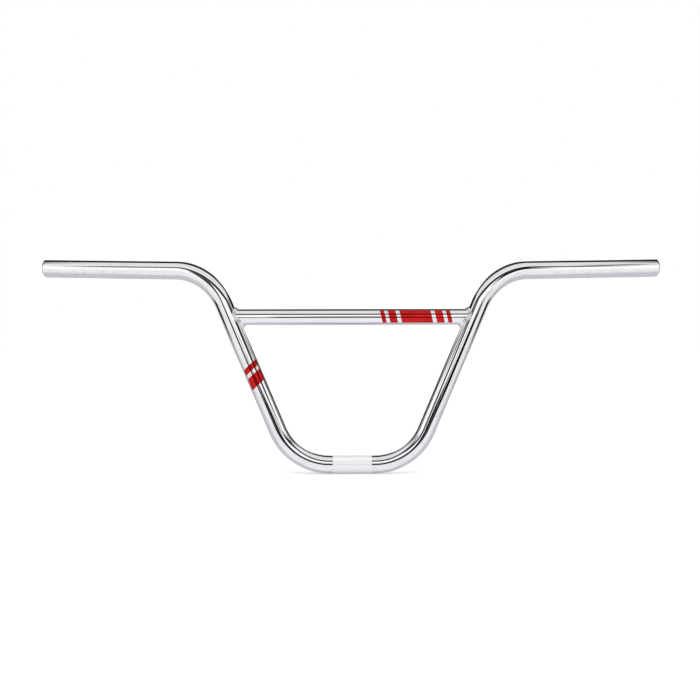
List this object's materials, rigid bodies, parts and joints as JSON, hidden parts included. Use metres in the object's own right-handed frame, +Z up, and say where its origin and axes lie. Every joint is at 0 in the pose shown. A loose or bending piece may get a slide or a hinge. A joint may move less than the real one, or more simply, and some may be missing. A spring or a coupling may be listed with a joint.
{
  "type": "bmx handlebar",
  "caption": "Chrome bent-tube bicycle handlebar for freestyle riding, with swept grips, a knurled stem clamp and a welded crossbar.",
  "frame": {"origin": "the middle of the stem clamp, on the tube's axis", "axes": "+X along the clamp towards the rider's left hand, +Y back towards the rider, +Z up"},
  "size_m": [0.736, 0.0611, 0.2529],
  "materials": {
    "main_tube": "polished chrome plating on steel",
    "crossbar": "polished chrome plating on steel",
    "weld_beads": "polished chrome plating on steel"
  },
  "bodies": {
    "root": {"main_tube": "main_tube", "crossbar": "crossbar", "weld_beads": "weld_beads"}
  },
  "joints": []
}
